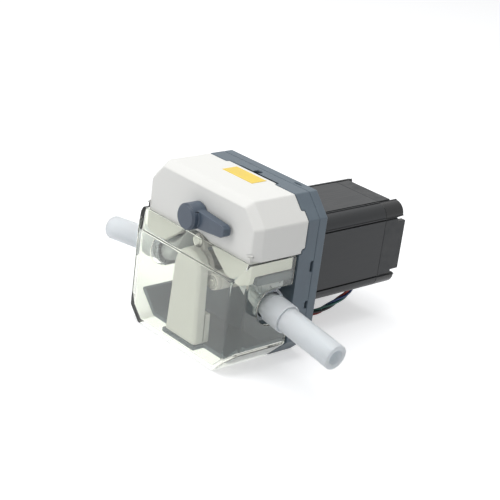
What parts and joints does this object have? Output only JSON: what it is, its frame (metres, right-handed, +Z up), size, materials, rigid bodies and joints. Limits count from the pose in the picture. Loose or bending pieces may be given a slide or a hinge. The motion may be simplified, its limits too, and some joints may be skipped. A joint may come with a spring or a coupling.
{
  "type": "peristaltic pump",
  "caption": "Peristaltic pump with a roller rotor, a squeezed tube, a press block raised by a front lever, a clear pull-off guard and a square motor on a rear flange.",
  "frame": {"origin": "centre of the rear body's base face, on the surface that the pump stands on, under the rotor axis", "axes": "+Z up, +X to the right seen from the front, -Y out of the front, motor along +Y"},
  "size_m": [0.22, 0.1685, 0.1089],
  "materials": {
    "head_grey": "matt blue-grey powder coat",
    "white_abs": "moulded warm white, satin",
    "lever_grey": "moulded blue-grey, satin",
    "clear_pc": "clear moulded polycarbonate with a faint yellow-green edge",
    "tube_silicone": "translucent silicone",
    "clear_nylon": "translucent moulded nylon",
    "steel": "ground steel",
    "screw_steel": "zinc plated steel",
    "black_steel": "blackened steel",
    "rotor_white": "white acetal",
    "motor_black": "black anodised extrusion",
    "copper": "laminations with copper windings",
    "seal_black": "black nitrile",
    "bronze": "sintered bronze",
    "lead_pvc": "red, green, black and yellow insulated wires",
    "tie_black": "black nylon tie",
    "label_film": "bare yellow film"
  },
  "bodies": {
    "root": {"rear_body": "head_grey", "motor_flange": "head_grey", "flange_screws": "screw_steel", "bearing_arm": "white_abs", "arm_screws": "screw_steel", "front_bearing": "steel", "rear_bearing": "steel", "shaft_seal": "seal_black", "guide_posts": "steel", "tube_clamp_left": "clear_nylon", "tube_clamp_right": "clear_nylon", "clamp_screws": "screw_steel", "pump_tube": "tube_silicone", "tube_sleeve_left": "clear_nylon", "tube_sleeve_right": "clear_nylon", "motor_front_plate": "motor_black", "motor_front_bearing": "steel", "motor_housing": "motor_black", "motor_stator": "copper", "motor_rear_bearing": "steel", "motor_rear_cap": "motor_black", "motor_bolts": "screw_steel", "lead_grommet": "seal_black", "motor_leads": "lead_pvc", "leads_hank": "lead_pvc", "leads_tie": "tie_black", "leads_plug": "white_abs"},
    "rotor": {"drive_shaft": "steel", "front_rotor_plate": "rotor_white", "rear_rotor_plate": "rotor_white", "roller_pins": "steel", "pin_clips": "black_steel", "motor_shaft": "steel", "motor_magnet": "black_steel", "shaft_grub_screw": "black_steel"},
    "roller_1": {"roller_1": "rotor_white"},
    "roller_2": {"roller_2": "rotor_white"},
    "roller_3": {"roller_3": "rotor_white"},
    "press_block": {"block_shell": "white_abs", "track_insert": "white_abs", "block_screws": "screw_steel", "guide_bushes": "bronze", "label_plate": "label_film"},
    "lever": {"lever": "lever_grey", "crank_shaft": "steel"},
    "guard": {"clear_guard": "clear_pc"}
  },
  "joints": [
    {"name": "rotor_spin", "type": "hinge", "parent": "root", "child": "rotor", "pos_m": [0, 0, 0.052], "axis": [0, 1, 0], "continuous": true},
    {"name": "roller_1_spin", "type": "hinge", "parent": "rotor", "child": "roller_1", "pos_m": [-0.00322, -0.0231, 0.06716], "axis": [0, 1, 0], "continuous": true},
    {"name": "roller_2_spin", "type": "hinge", "parent": "rotor", "child": "roller_2", "pos_m": [0.01474, -0.0231, 0.04721], "axis": [0, 1, 0], "continuous": true},
    {"name": "roller_3_spin", "type": "hinge", "parent": "rotor", "child": "roller_3", "pos_m": [-0.01152, -0.0231, 0.04163], "axis": [0, 1, 0], "continuous": true},
    {"name": "block_lift", "type": "slide", "parent": "root", "child": "press_block", "axis": [0, 0, 1], "range_m": [0, 0.011]},
    {"name": "lever_turn", "type": "hinge", "parent": "press_block", "child": "lever", "pos_m": [0, -0.0431, 0.087], "axis": [0, -1, 0], "range_deg": [-8, 188]},
    {"name": "guard_pull", "type": "slide", "parent": "root", "child": "guard", "axis": [0, -1, 0], "range_m": [0, 0.07]}
  ],
  "couplings": [
    {"joint": "roller_1_spin", "follows": "rotor_spin", "ratio": -3.8182},
    {"joint": "roller_2_spin", "follows": "rotor_spin", "ratio": -3.8182},
    {"joint": "roller_3_spin", "follows": "rotor_spin", "ratio": -3.8182},
    {"joint": "lever_turn", "follows": "block_lift", "rad_per_m": 285.59}
  ]
}
